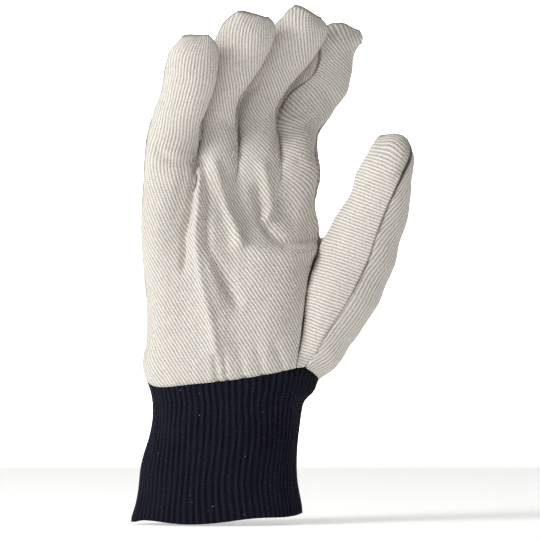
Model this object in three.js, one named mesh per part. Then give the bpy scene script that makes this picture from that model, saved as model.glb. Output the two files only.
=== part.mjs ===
// A cotton drill work glove with a ribbed knit wrist, right hand, held as a hand fills it.
// Millimetres, +Z up along the hand, palm towards -Y, thumb towards +X.
// The origin is the centre of the wrist opening, at the cuff's hem.
// The cloth is one outer surface of quads: a palm side and a back side that meet at the seams.
// Each panel takes its own quads, gets the cloth's thickness inwards and keeps a gap at its seams.
import * as THREE from "three";

// Driving dimensions
const palmWidth = 88; // across the palm, left seam to right seam
const palmLength = 117; // from the cuff seam to the crotches of the fingers
const palmDepth = 38; // through the middle of the filled palm
const littleLength = 66; // along the centreline, crotch to tip
const ringLength = 77;
const middleLength = 78;
const indexLength = 74;
const fingerWidth = 26.5; // flat width of a finger, seam to seam
const fingerDepth = 18.5; // through a filled finger
const thumbLength = 64; // along the centreline, thumb crotch to tip
const thumbWidth = 34; // across the filled thumb, seen from the palm
const thumbDepth = 30; // through the filled thumb
const clothThickness = 1.5; // cotton drill, with its nap
const cuffLength = 70; // hem to cuff seam
const cuffWidth = 85; // across the hem
const cuffDepth = 40; // through the hem
const knitThickness = 2.2; // wall of the cuff under the ribs
const ribHeight = 0.6;
const ribCount = 78;
const cuffSeamRise = 9; // how far the cuff seam climbs towards the thumb
const hemRise = 4; // how far the hem climbs towards the thumb
const seamGap = 0.3; // clearance between two panels, and between cloth and cuff
const crotchGap = 0.9; // how far each panel stays off the point of a crotch
const handShift = 6; // the hand's centreline stands this far to the thumb side of the hem's
const handTurn = 11; // degrees, little finger nearer than the index finger

// How finely the surface is divided
const fingerColumns = 8; // across one side of a finger
const thumbColumns = 9; // across one panel of the thumb
const lowerRows = 8; // cuff seam to thumb crotch
const upperRows = 7; // thumb crotch to finger crotches
const fingerRows = 9;
const thumbRows = 8;
const cuffRows = 8;

// The palm, from the cuff seam (up 0) to the crotches (up 1).
// left and right are shares of palmWidth from the hand's centreline, deep and set of palmDepth.
// open is the angle in degrees, from the thumb side, at which the thumb leaves the palm, and blunt
// is the section's shape: below 1 it is boxier than an ellipse, above 1 more pointed.
const palmRows = [
  { up: 0.0, left: 0.475, right: 0.517, deep: 1.06, set: 0.0, open: 42, blunt: 0.8 },
  { up: 0.06, left: 0.49, right: 0.512, deep: 1.1, set: 0.0, open: 38, blunt: 0.8 },
  { up: 0.15, left: 0.474, right: 0.502, deep: 1.14, set: 0.01, open: 33, blunt: 0.8 },
  { up: 0.3, left: 0.474, right: 0.502, deep: 1.14, set: 0.03, open: 29, blunt: 0.85 },
  { up: 0.45, left: 0.49, right: 0.506, deep: 1.04, set: 0.06, open: 23, blunt: 0.95 },
  { up: 0.61, left: 0.503, right: 0.522, deep: 0.9, set: 0.05, open: 0, blunt: 1.0 },
  { up: 0.72, left: 0.503, right: 0.5, deep: 0.8, set: 0.06, open: 0, blunt: 0.95 },
  { up: 0.85, left: 0.497, right: 0.5, deep: 0.68, set: 0.03, open: 0, blunt: 0.9 },
  { up: 1.0, left: 0.472, right: 0.49, deep: 0.5, set: 0.0, open: 0, blunt: 0.9 },
];
const thumbCrotchUp = 0.61;
const pinchStartUp = 0.74; // above this the palm is drawn in towards the crotches
const fingerFullness = 1.0; // below 1 a section is boxier than an ellipse

// The cuff seam's height round the wrist, in degrees from the thumb side over the palm.
// lift is a share of cuffSeamRise.
const cuffSeam = [
  { at: -180, lift: 0.1 },
  { at: -90, lift: 0.0 },
  { at: 0, lift: 0.1 },
  { at: 20, lift: 0.5 },
  { at: 36, lift: 0.8 },
  { at: 60, lift: 0.5 },
  { at: 90, lift: 0.1 },
  { at: 120, lift: -0.15 },
  { at: 150, lift: -0.33 },
  { at: 180, lift: 0.1 },
];

// The fingers, each as sections from its crotch to its tip.
// rise, side and reach place the centre, in shares of the finger's length: up, to the thumb side
// and out of the palm. wide and deep are shares of fingerWidth and fingerDepth, and roll turns
// the section in degrees, its thumb side coming forward. drift is how far the left seam has slipped
// over the front of the finger, in degrees round the section.
const littleFinger = {
  length: littleLength,
  root: 0.3,
  crotchLift: 0.0,
  sections: [
    { along: 0.0, rise: 0.0, side: 0.0, reach: 0.0, wide: 0.95, deep: 0.9, roll: 0, drift: 0 },
    { along: 0.24, rise: 0.236, side: 0.035, reach: 0.1, wide: 0.95, deep: 0.92, roll: 14, drift: 0 },
    { along: 0.43, rise: 0.39, side: 0.1, reach: 0.17, wide: 1.0, deep: 1.0, roll: 16, drift: 0 },
    { along: 0.62, rise: 0.545, side: 0.14, reach: 0.26, wide: 1.04, deep: 1.06, roll: 10, drift: 0 },
    { along: 0.76, rise: 0.665, side: 0.165, reach: 0.33, wide: 1.03, deep: 1.06, roll: 4, drift: 0 },
    { along: 0.9, rise: 0.79, side: 0.18, reach: 0.4, wide: 0.96, deep: 1.0, roll: 0, drift: 0 },
    { along: 1.0, rise: 0.89, side: 0.18, reach: 0.45, wide: 0.86, deep: 1.0, roll: 0, drift: 0 },
  ],
};
const ringFinger = {
  length: ringLength,
  root: 0.24,
  crotchLift: 0.012,
  sections: [
    { along: 0.0, rise: 0.0, side: 0.0, reach: 0.0, wide: 0.8, deep: 0.85, roll: 6, drift: 0 },
    { along: 0.2, rise: 0.19, side: -0.004, reach: -0.01, wide: 0.84, deep: 0.84, roll: 28, drift: 0 },
    { along: 0.37, rise: 0.355, side: -0.01, reach: 0.045, wide: 0.99, deep: 0.92, roll: 24, drift: 0 },
    { along: 0.58, rise: 0.54, side: 0.09, reach: 0.14, wide: 1.04, deep: 1.0, roll: 12, drift: 0 },
    { along: 0.76, rise: 0.69, side: 0.165, reach: 0.22, wide: 1.1, deep: 1.02, roll: 0, drift: 0 },
    { along: 0.9, rise: 0.8, side: 0.215, reach: 0.285, wide: 1.12, deep: 0.98, roll: -8, drift: 0 },
    { along: 1.0, rise: 0.895, side: 0.245, reach: 0.335, wide: 1.04, deep: 1.0, roll: -14, drift: 0 },
  ],
};
const middleFinger = {
  length: middleLength,
  root: 0.255,
  crotchLift: 0.012,
  sections: [
    { along: 0.0, rise: 0.0, side: 0.0, reach: 0.0, wide: 0.82, deep: 0.85, roll: 6, drift: 0 },
    { along: 0.2, rise: 0.195, side: -0.028, reach: -0.04, wide: 0.85, deep: 0.86, roll: 28, drift: 0 },
    { along: 0.41, rise: 0.4, side: 0.02, reach: -0.025, wide: 1.0, deep: 0.94, roll: 22, drift: 0 },
    { along: 0.6, rise: 0.56, side: 0.115, reach: 0.03, wide: 1.04, deep: 1.0, roll: 10, drift: 0 },
    { along: 0.78, rise: 0.7, side: 0.23, reach: 0.1, wide: 1.07, deep: 1.02, roll: -2, drift: 0 },
    { along: 0.89, rise: 0.79, side: 0.285, reach: 0.15, wide: 1.08, deep: 0.98, roll: -8, drift: 0 },
    { along: 1.0, rise: 0.905, side: 0.335, reach: 0.2, wide: 1.0, deep: 1.0, roll: -12, drift: 0 },
  ],
};
const indexFinger = {
  length: indexLength,
  root: 0.195,
  crotchLift: 0.0,
  sections: [
    { along: 0.0, rise: 0.0, side: 0.0, reach: 0.0, wide: 0.66, deep: 0.85, roll: 4, drift: 0 },
    { along: 0.15, rise: 0.14, side: 0.005, reach: -0.08, wide: 0.86, deep: 0.96, roll: 0, drift: 8 },
    { along: 0.34, rise: 0.31, side: 0.06, reach: -0.13, wide: 1.08, deep: 1.08, roll: -14, drift: 24 },
    { along: 0.53, rise: 0.47, side: 0.165, reach: -0.13, wide: 1.08, deep: 1.18, roll: -26, drift: 44 },
    { along: 0.71, rise: 0.62, side: 0.23, reach: -0.1, wide: 1.04, deep: 1.16, roll: -28, drift: 40 },
    { along: 0.88, rise: 0.77, side: 0.29, reach: -0.05, wide: 1.02, deep: 1.06, roll: -22, drift: 20 },
    { along: 1.0, rise: 0.865, side: 0.345, reach: -0.01, wide: 0.96, deep: 1.0, roll: -14, drift: 0 },
  ],
};
const fingers = [littleFinger, ringFinger, middleFinger, indexFinger];
const squareOn = 0.45; // how far the sections stay level where a finger leans
const tipRoundingAt = 0.74; // share of a finger's length where its end starts to round
const tipWidthLeft = 0.6; // share of the width left along the seam that closes the tip
const squareTip = 3; // the tip's outline: 2 is round, higher is squarer

// The thumb's root, from the cuff seam to the thumb's crotch. side, rise and out place the centre
// of its section, in shares of palmWidth, palmLength and palmDepth. swing leans the section and
// roll turns it. seam is the angle of the outer seam on it, and reach is how far round from the
// thumb side it runs before it meets the palm, all in degrees.
const thumbRoot = [
  {
    up: 0.0, side: 0.48, rise: 0.0, out: 0.0,
    wide: 0.4, deep: 0.6, roll: 0, swing: 20, seam: 80, reach: 125,
  },
  {
    up: 0.15, side: 0.515, rise: 0.125, out: 0.08,
    wide: 0.76, deep: 0.86, roll: 0, swing: 24, seam: 92, reach: 132,
  },
  {
    up: 0.3, side: 0.577, rise: 0.262, out: 0.1,
    wide: 0.96, deep: 0.95, roll: 8, swing: 25, seam: 74, reach: 144,
  },
  {
    up: 0.45, side: 0.652, rise: 0.387, out: 0.1,
    wide: 1.1, deep: 0.98, roll: 15, swing: 27, seam: 64, reach: 158,
  },
  {
    up: 0.61, side: 0.754, rise: 0.533, out: 0.06,
    wide: 1.09, deep: 1.0, roll: 20, swing: 27, seam: 60, reach: 180,
  },
];
// The free thumb, in shares of thumbLength from the last section above.
const thumbSections = [
  { along: 0.0, rise: 0.0, side: 0.0, reach: 0.0, wide: 1.1, deep: 1.0, roll: 20, seam: 60 },
  { along: 0.306, rise: 0.286, side: 0.094, reach: 0.03, wide: 1.044, deep: 0.94, roll: 24, seam: 56 },
  { along: 0.524, rise: 0.486, side: 0.18, reach: 0.06, wide: 0.938, deep: 0.86, roll: 28, seam: 52 },
  { along: 0.744, rise: 0.697, side: 0.238, reach: 0.09, wide: 0.8, deep: 0.76, roll: 28, seam: 33 },
  { along: 0.906, rise: 0.853, side: 0.262, reach: 0.11, wide: 0.68, deep: 0.7, roll: 24, seam: 14 },
  { along: 1.0, rise: 0.945, side: 0.272, reach: 0.12, wide: 0.72, deep: 0.66, roll: 20, seam: 0 },
];
const thumbBlendUp = 0.13; // share of the palm's length over which the thumb grows out of it
const thumbHollow = 30; // degrees left open between the thumb's front and the palm
const thumbSeamAngle = 34; // where the thumb's outer seam meets the cuff, in degrees

// Folds and dents of the cloth. side and up place each end, in shares of palmWidth from the left
// seam and of palmLength from the cuff seam; broad and high are shares of palmWidth.
const palmFolds = [
  { side: 0.27, up: 0.83, toSide: 0.2, toUp: 0.54, broad: 0.06, high: -0.026 },
  { side: 0.19, up: 0.92, toSide: 0.1, toUp: 0.66, broad: 0.07, high: 0.016 },
  { side: 0.33, up: 0.86, toSide: 0.45, toUp: 0.12, broad: 0.065, high: 0.024 },
  { side: 0.43, up: 0.82, toSide: 0.52, toUp: 0.38, broad: 0.06, high: -0.018 },
  { side: 0.56, up: 0.84, toSide: 0.64, toUp: 0.62, broad: 0.06, high: -0.016 },
  { side: 0.68, up: 0.76, toSide: 0.76, toUp: 0.7, broad: 0.13, high: -0.045 },
  { side: 0.7, up: 0.54, toSide: 0.84, toUp: 0.56, broad: 0.09, high: 0.026 },
  { side: 0.76, up: 0.24, toSide: 0.84, toUp: 0.44, broad: 0.16, high: 0.03 },
  { side: 0.24, up: 0.2, toSide: 0.26, toUp: 0.48, broad: 0.08, high: -0.014 },
];
const backFolds = [
  { side: 0.3, up: 0.84, toSide: 0.32, toUp: 0.66, broad: 0.06, high: -0.016 },
  { side: 0.54, up: 0.84, toSide: 0.53, toUp: 0.62, broad: 0.06, high: -0.016 },
  { side: 0.77, up: 0.84, toSide: 0.74, toUp: 0.64, broad: 0.06, high: -0.016 },
  { side: 0.2, up: 0.34, toSide: 0.74, toUp: 0.3, broad: 0.07, high: 0.012 },
];

// The cuff from its seam (down 0) to its hem (down 1): shares of cuffWidth, cuffDepth and, for
// shift, of handShift.
const cuffSections = [
  { down: 0.0, wide: 1.0, deep: 1.0, shift: 1.3 },
  { down: 0.09, wide: 0.925, deep: 1.02, shift: 1.08 },
  { down: 0.17, wide: 0.878, deep: 1.03, shift: 1.04 },
  { down: 0.28, wide: 0.886, deep: 1.03, shift: 0.75 },
  { down: 0.43, wide: 0.897, deep: 1.02, shift: 0.48 },
  { down: 0.58, wide: 0.925, deep: 1.01, shift: 0.33 },
  { down: 0.73, wide: 0.938, deep: 1.0, shift: 0.14 },
  { down: 0.86, wide: 0.962, deep: 1.0, shift: 0.12 },
  { down: 1.0, wide: 1.0, deep: 1.0, shift: 0.0 },
];
const cuffBlendDown = 0.2; // share of the cuff over which it leaves the palm's outline
const hemWaves = 5; // soft waves round the hem
const hemWaveShare = 0.2; // their height, as a share of hemRise

const degrees = Math.PI / 180;

// The value of one column of a table, on a smooth curve through its rows.
function valueAt(rows, key, column, at) {
  let i = 0;
  while (i < rows.length - 2 && at > rows[i + 1][key]) i++;
  const slope = (j) => {
    const a = rows[Math.max(j - 1, 0)];
    const b = rows[Math.min(j + 1, rows.length - 1)];
    return (b[column] - a[column]) / (b[key] - a[key]);
  };
  const from = rows[i];
  const to = rows[i + 1];
  const span = to[key] - from[key];
  const t = THREE.MathUtils.clamp((at - from[key]) / span, 0, 1);
  const t2 = t * t;
  const t3 = t2 * t;
  return (
    from[column] * (2 * t3 - 3 * t2 + 1) +
    to[column] * (3 * t2 - 2 * t3) +
    span * (slope(i) * (t3 - 2 * t2 + t) + slope(i + 1) * (t3 - t2))
  );
}

const smooth = (t, from = 0, to = 1) => THREE.MathUtils.smoothstep(t, from, to);
const mixed = (a, b, t) => a.clone().lerp(b, t);

// Height of the cuff seam at an angle round the wrist.
function seamHeight(angle) {
  return cuffLength + cuffSeamRise * valueAt(cuffSeam, "at", "lift", angle);
}

// A point of the palm's section: angle 0 is the thumb side, 180 the little finger's side,
// positive angles run over the palm and negative ones over the back.
function palmPoint(up, angle) {
  const read = (column) => valueAt(palmRows, "up", column, up);
  const left = handShift - read("left") * palmWidth;
  const right = handShift + read("right") * palmWidth;
  const round = Math.pow(Math.abs(Math.sin(angle * degrees)), read("blunt"));
  const across = ((right - left) / 2) * Math.cos(angle * degrees);
  const x = (left + right) / 2 + across;
  const halfDepth = (read("deep") * palmDepth) / 2;
  const turned = across * Math.tan(handTurn * degrees) * smooth(up);
  const y = -Math.sign(angle) * round * halfDepth + turned + read("set") * palmDepth;
  const seam = seamHeight(angle);
  return new THREE.Vector3(x, y, seam + (cuffLength + palmLength - seam) * up);
}

// A section across a finger or the thumb: its centre, its half sizes and its own axes.
// ahead is the way the finger runs, across goes from seam to seam, and front leaves the palm side.
function makeSection(centre, ahead, width, depth, roll) {
  const flat = new THREE.Vector3(1, 0, 0).addScaledVector(ahead, -ahead.x).normalize();
  const rear = new THREE.Vector3().crossVectors(ahead, flat);
  const c = Math.cos(roll * degrees);
  const s = Math.sin(roll * degrees);
  const across = flat.clone().multiplyScalar(c).addScaledVector(rear, -s);
  const front = flat.clone().multiplyScalar(-s).addScaledVector(rear, -c);
  return { centre, across, front, halfWidth: width / 2, halfDepth: depth / 2 };
}

// A point of a section: angle 180 is its left seam, 0 its right seam, negative is the back.
function sectionPoint(section, angle) {
  const sine = Math.sin(angle * degrees);
  const round = Math.sign(sine) * Math.pow(Math.abs(sine), fingerFullness);
  return section.centre
    .clone()
    .addScaledVector(section.across, section.halfWidth * Math.cos(angle * degrees))
    .addScaledVector(section.front, section.halfDepth * round);
}

// The centre of a finger at a share of its length, from its root.
function centreAt(root, sections, length, along) {
  const read = (column) => valueAt(sections, "along", column, along) * length;
  return root.clone().add(new THREE.Vector3(read("side"), -read("reach"), read("rise")));
}

// One section of a finger or thumb, rounded off towards its tip.
function digitSection(root, sections, length, width, depth, along) {
  const step = 0.08;
  const before = centreAt(root, sections, length, Math.max(along - step, 0));
  const after = centreAt(root, sections, length, Math.min(along + step, 1));
  const ahead = after.sub(before).normalize();
  ahead.lerp(new THREE.Vector3(0, 0, 1), squareOn).normalize();
  const read = (column) => valueAt(sections, "along", column, along);
  const t = THREE.MathUtils.clamp((along - tipRoundingAt) / (1 - tipRoundingAt), 0, 1);
  const slim = 1 - (1 - tipWidthLeft) * (1 - Math.pow(1 - Math.pow(t, squareTip), 1 / squareTip));
  const flatten = Math.sqrt(1 - t * t);
  return makeSection(
    centreAt(root, sections, length, along),
    ahead,
    read("wide") * width * slim,
    read("deep") * depth * flatten,
    read("roll"),
  );
}

// The angle of a finger's column on its section, from the left seam to the right over one side.
function columnAngle(side, column, drift) {
  const share = 1 - column / fingerColumns;
  return side * Math.max((180 - side * drift) * share, 1e-9);
}

// Rows crowd towards a tip, where the form turns fastest.
const digitShare = (row, rows) => 1 - Math.pow(1 - row / rows, 1.25);

// The crotch level: where each finger's seams stand on the palm's top row.
const palmTop = { left: palmPoint(1, 180), right: palmPoint(1, 0) };
const crotches = [palmTop.left];
for (const finger of fingers) {
  const shares = fingers.reduce((sum, f) => sum + f.root, 0);
  const last = crotches[crotches.length - 1];
  const next = last.clone();
  next.addScaledVector(palmTop.right.clone().sub(palmTop.left), finger.root / shares);
  next.z = palmTop.left.z + finger.crotchLift * palmLength;
  crotches.push(next);
}

// The section at a finger's root, between its two crotches.
function rootSection(finger, index) {
  const [left, right] = [crotches[index], crotches[index + 1]];
  const across = right.clone().sub(left);
  const first = finger.sections[0];
  const section = makeSection(mixed(left, right, 0.5), new THREE.Vector3(0, 0, 1), 0, 0, 0);
  section.halfWidth = across.length() / 2;
  section.halfDepth = (first.deep * fingerDepth) / 2;
  section.across = across.normalize();
  section.front = new THREE.Vector3(across.y, -across.x, 0).normalize();
  return section;
}
const rootSections = fingers.map(rootSection);

// A row of the palm as points from the left seam to the right, over the palm or over the back.
function palmRow(up, side) {
  const open = valueAt(palmRows, "up", "open", up) * (up < thumbCrotchUp ? 1 : 0);
  const pinched = THREE.MathUtils.clamp((up - pinchStartUp) / (1 - pinchStartUp), 0, 1);
  const draw = 1 - Math.sqrt(1 - pinched);
  const points = [];
  rootSections.forEach((section, index) => {
    for (let c = index ? 1 : 0; c <= fingerColumns; c++) {
      const rootPoint = sectionPoint(section, columnAngle(side, c, 0));
      const share = (rootPoint.x - palmTop.left.x) / (palmTop.right.x - palmTop.left.x);
      const turn = Math.acos(THREE.MathUtils.clamp(1 - 2 * share, -1, 1)) / degrees;
      const angle = 180 - turn + open * Math.pow(turn / 180, 3);
      const palm = palmPoint(up, side * Math.max(angle, 1e-9));
      const drawn = rootPoint.clone();
      drawn.z += palm.z - palmTop.left.z;
      points.push(mixed(palm, drawn, draw));
    }
  });
  return points;
}

// The columns of the thumb, 0 at the seam with the palm or the inner seam and 1 at the outer seam.
const thumbShares = Array.from({ length: thumbColumns + 1 }, (_, c) => c / thumbColumns);
// The angle of a column: the front runs over the palm side, the back runs behind and round.
function thumbAngle(side, share, reach, seam) {
  const start = side > 0 ? reach - thumbHollow * (1 - Math.abs(180 - reach) / 180) : -reach;
  return start + (seam - start) * share;
}

// A row of the thumb's root: from the palm's seam to the thumb's outer seam, or on over the back.
function thumbRootRow(up, side, palmEdge) {
  const read = (column) => valueAt(thumbRoot, "up", column, up);
  const centre = new THREE.Vector3(
    handShift + read("side") * palmWidth,
    -read("out") * palmDepth,
    cuffLength + read("rise") * palmLength,
  );
  const swing = read("swing") * degrees;
  const ahead = new THREE.Vector3(Math.sin(swing), 0, Math.cos(swing));
  const wide = read("wide") * thumbWidth;
  const section = makeSection(centre, ahead, wide, read("deep") * thumbDepth, read("roll"));
  const open = Math.max(valueAt(palmRows, "up", "open", up), 0);
  const grown = smooth(up, 0, thumbBlendUp);
  const start = thumbAngle(side, 0, read("reach"), 0);
  const missed = palmEdge.clone().sub(sectionPoint(section, start));
  return thumbShares.map((w) => {
    const onPalm = palmPoint(up, side * open + (thumbSeamAngle - side * open) * w);
    const ring = sectionPoint(section, thumbAngle(side, w, read("reach"), read("seam")));
    ring.addScaledVector(missed, 1 - smooth(w, 0, side > 0 ? 0.3 : 0.7));
    return mixed(onPalm, ring, grown);
  });
}

// Moves a point of the palm or the back out or in by the folds that pass near it.
function foldHeight(folds, point) {
  const left = handShift - palmWidth / 2;
  let height = 0;
  for (const fold of folds) {
    const a = new THREE.Vector2(left + fold.side * palmWidth, cuffLength + fold.up * palmLength);
    const b = new THREE.Vector2(left + fold.toSide * palmWidth, cuffLength + fold.toUp * palmLength);
    const p = new THREE.Vector2(point.x, point.z);
    const run = b.clone().sub(a);
    const t = THREE.MathUtils.clamp(p.clone().sub(a).dot(run) / run.lengthSq(), 0, 1);
    const away = p.distanceTo(a.addScaledVector(run, t)) / (fold.broad * palmWidth);
    height += fold.high * palmWidth * Math.exp(-away * away);
  }
  return height;
}

// The whole outer surface: corners shared between panels, and quads with the panel they are on.
const corners = [];
const quads = [];
function corner(point, panel) {
  let index = corners.findIndex((known) => known.point.distanceToSquared(point) < 1e-6);
  if (index < 0) {
    index = corners.length;
    corners.push({ point: point.clone(), panels: new Set() });
  }
  corners[index].panels.add(panel);
  return index;
}
// Quads between two rows. The rows run left to right seen from the palm side.
function addStrip(panel, lower, upper, side) {
  for (let c = 0; c + 1 < lower.length; c++) {
    const loop = [lower[c], lower[c + 1], upper[c + 1], upper[c]].map((p) => corner(p, panel));
    quads.push({ panel, loop: side > 0 ? loop : loop.reverse() });
  }
}

const upOf = (row) =>
  row <= lowerRows
    ? (thumbCrotchUp * row) / lowerRows
    : thumbCrotchUp + ((1 - thumbCrotchUp) * (row - lowerRows)) / upperRows;

for (const side of [1, -1]) {
  const palmPanel = side > 0 ? "palm_panel" : "back_panel";
  const thumbPanel = side > 0 ? "thumb_front_panel" : "back_panel";
  const rows = [];
  for (let r = 0; r <= lowerRows + upperRows; r++) rows.push(palmRow(upOf(r), side));
  for (let r = 0; r < rows.length - 1; r++) {
    addStrip(palmPanel, rows[r], rows[r + 1], side);
  }

  // The thumb grows out of the palm's thumb side, row by row, up to its crotch.
  const rootRows = [];
  for (let r = 0; r <= lowerRows; r++) {
    rootRows.push(thumbRootRow(upOf(r), side, rows[r][rows[r].length - 1]));
  }
  for (let r = 0; r < lowerRows; r++) {
    addStrip(thumbPanel, rootRows[r], rootRows[r + 1], side);
  }

  // The fingers stand on the palm's top row.
  fingers.forEach((finger, index) => {
    const first = index * fingerColumns;
    const root = rootSections[index].centre;
    let last = rows[rows.length - 1].slice(first, first + fingerColumns + 1);
    const base = last;
    for (let r = 1; r <= fingerRows; r++) {
      const along = digitShare(r, fingerRows);
      const { length, sections } = finger;
      const section = digitSection(root, sections, length, fingerWidth, fingerDepth, along);
      const drift = valueAt(sections, "along", "drift", along);
      const settle = 1 - smooth(along, 0, 0.2);
      const next = base.map((point, c) => {
        const free = sectionPoint(section, columnAngle(side, c, drift));
        const held = point.clone().add(section.centre.clone().sub(root));
        return mixed(free, held, settle);
      });
      addStrip(palmPanel, last, next, side);
      last = next;
    }
  });

  // The free thumb stands on the last row of its root.
  const thumbBase = rootRows[lowerRows];
  const lastRoot = thumbRoot[thumbRoot.length - 1];
  const thumbCentre = new THREE.Vector3(
    handShift + lastRoot.side * palmWidth,
    -lastRoot.out * palmDepth,
    cuffLength + lastRoot.rise * palmLength,
  );
  let last = thumbBase;
  for (let r = 1; r <= thumbRows; r++) {
    const along = digitShare(r, thumbRows);
    const section = digitSection(
      thumbCentre,
      thumbSections,
      thumbLength,
      thumbWidth,
      thumbDepth,
      along,
    );
    const settle = 1 - smooth(along, 0, 0.45);
    const seam = valueAt(thumbSections, "along", "seam", along);
    const next = thumbBase.map((point, c) => {
      const angle = side * 180 + (seam - side * 180) * thumbShares[c];
      const free = sectionPoint(section, angle);
      const held = point.clone().add(section.centre.clone().sub(thumbCentre));
      return mixed(free, held, settle);
    });
    addStrip(thumbPanel, last, next, side);
    last = next;
  }
}

// The outward normal of a quad, and outward normals at the corners from the quads round each.
function faceNormal(loop) {
  const [a, b, c, d] = loop.map((i) => corners[i].point);
  return new THREE.Vector3().crossVectors(c.clone().sub(a), d.clone().sub(b)).normalize();
}
function cornerNormals() {
  const sums = corners.map(() => new THREE.Vector3());
  for (const { loop } of quads) for (const i of loop) sums[i].add(faceNormal(loop));
  return sums.map((sum) => sum.normalize());
}

// Behind, the hand runs into the thumb without a seam, so the surface is eased there.
const crotchHeight = cuffLength + thumbCrotchUp * palmLength;
const eased = corners.map(({ point, panels }) => {
  if (panels.size > 1 || !panels.has("back_panel") || point.y < 0) return 0;
  const sideways = smooth(point.x, handShift + 0.25 * palmWidth, handShift + 0.4 * palmWidth);
  const upwards = 1 - smooth(point.z, crotchHeight, crotchHeight + 0.2 * palmLength);
  return sideways * upwards * smooth(point.z, cuffLength, cuffLength + 0.08 * palmLength);
});
for (let pass = 0; pass < 12; pass++) {
  const sums = corners.map(() => new THREE.Vector3());
  const counts = corners.map(() => 0);
  for (const { loop } of quads) {
    loop.forEach((i, k) => {
      for (const j of [loop[(k + 1) % 4], loop[(k + 3) % 4]]) {
        sums[i].add(corners[j].point);
        counts[i]++;
      }
    });
  }
  corners.forEach(({ point }, i) => {
    if (eased[i]) point.lerp(sums[i].divideScalar(counts[i]), 0.6 * eased[i]);
  });
}

// The folds lift or sink the cloth; the seams keep their places.
cornerNormals().forEach((normal, i) => {
  const { point, panels } = corners[i];
  if (panels.size > 1) return;
  if (panels.has("palm_panel")) point.addScaledVector(normal, foldHeight(palmFolds, point));
  if (panels.has("back_panel")) point.addScaledVector(normal, foldHeight(backFolds, point));
});
const normals = cornerNormals();

// How much further than the cloth's thickness a corner goes inwards, to keep the wall even.
const insets = corners.map(() => 1);
for (const { loop } of quads) {
  const face = faceNormal(loop);
  for (const i of loop) insets[i] = Math.min(insets[i], Math.max(face.dot(normals[i]), 0.85));
}

// The points where the seams of two fingers, or of the palm and the thumb, run together.
const crotchPoints = [crotches[1], crotches[2], crotches[3], palmPoint(thumbCrotchUp, 0)];
const isCrotch = (i) => crotchPoints.some((point) => point.distanceTo(corners[i].point) < 0.05);

// One panel: its quads outside and inside, and the strip that joins them round its edge.
function panelGeometry(panel) {
  const own = quads.filter((quad) => quad.panel === panel);
  const edges = new Map();
  const ownNormals = new Map();
  for (const { loop } of own) {
    const face = faceNormal(loop);
    loop.forEach((i, k) => {
      const j = loop[(k + 1) % loop.length];
      edges.set(i + ">" + j, [i, j]);
      if (!ownNormals.has(i)) ownNormals.set(i, new THREE.Vector3());
      ownNormals.get(i).add(face);
    });
  }
  const rim = [...edges.values()].filter(([i, j]) => !edges.has(j + ">" + i));
  const before = new Map(rim.map(([i, j]) => [j, i]));
  const after = new Map(rim);

  // A rim corner draws back from the seam by half the gap, square to both rim edges.
  const drawBack = (i) => {
    const steps = [[before.get(i), i], [i, after.get(i)]].map(([from, to]) => {
      const run = corners[to].point.clone().sub(corners[from].point);
      return new THREE.Vector3().crossVectors(normals[i], run).normalize();
    });
    const sum = steps[0].clone().add(steps[1]);
    return sum.divideScalar(Math.max(1 + steps[0].dot(steps[1]), 0.5)).multiplyScalar(seamGap / 2);
  };
  const outer = new Map();
  const inner = new Map();
  for (const [i, ownNormal] of ownNormals) {
    const point = corners[i].point.clone();
    let normal = normals[i];
    let inset = clothThickness / insets[i];
    if (isCrotch(i)) {
      // At a crotch each panel keeps to its own side of the point and a little below it.
      // Palm and thumb front meet there in a hollow, so they part the other way.
      const parted = corners[i].panels.size > 2 && panel !== "back_panel";
      const up = new THREE.Vector3(0, 0, 1);
      const aside = ownNormal.normalize().clone().projectOnPlane(up).normalize();
      point.addScaledVector(aside, (parted ? -crotchGap : crotchGap) / 2);
      point.addScaledVector(up, -crotchGap / 2);
      normal = parted ? ownNormal.multiplyScalar(1.3).add(new THREE.Vector3(0, 1.1, 0)) : up;
      inset = clothThickness;
    } else if (after.has(i)) {
      const back = drawBack(i);
      point.add(back);
      // In a hollow seam the two walls part, so each keeps to its own side.
      if (ownNormal.normalize().dot(back) < -0.35 * back.length()) {
        normal = ownNormal;
        inset = clothThickness;
      }
    }
    outer.set(i, point);
    inner.set(i, point.clone().addScaledVector(normal, -inset));
  }
  const triangles = [];
  const quad = (a, b, c, d) => triangles.push(a, b, c, a, c, d);
  for (const { loop } of own) {
    quad(...loop.map((i) => outer.get(i)));
    quad(...[0, 3, 2, 1].map((k) => inner.get(loop[k])));
  }
  // Both panels at a seam divide the strip between them the same way.
  for (const [i, j] of rim) {
    if (i < j) quad(outer.get(i), inner.get(i), inner.get(j), outer.get(j));
    else quad(outer.get(j), outer.get(i), inner.get(i), inner.get(j));
  }
  return new THREE.BufferGeometry().setFromPoints(triangles);
}

// The cloth's bottom edge as a closed loop, over the palm to the thumb side and back behind.
const seamLoop = [];
for (const side of [1, -1]) {
  const palm = palmRow(0, side);
  const thumb = thumbRootRow(0, side, palm[palm.length - 1]);
  const run = [...palm, ...thumb.slice(1)];
  seamLoop.push(...(side > 0 ? run : run.reverse().slice(1, -1)));
}

// A closed loop divided into equal lengths.
function evenly(loop, count) {
  const lengths = [0];
  loop.forEach((p, i) => lengths.push(lengths[i] + p.distanceTo(loop[(i + 1) % loop.length])));
  const total = lengths[loop.length];
  const points = [];
  let i = 0;
  for (let k = 0; k < count; k++) {
    const at = (total * k) / count;
    while (lengths[i + 1] < at) i++;
    const t = (at - lengths[i]) / (lengths[i + 1] - lengths[i]);
    points.push(mixed(loop[i], loop[(i + 1) % loop.length], t));
  }
  return points;
}

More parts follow.
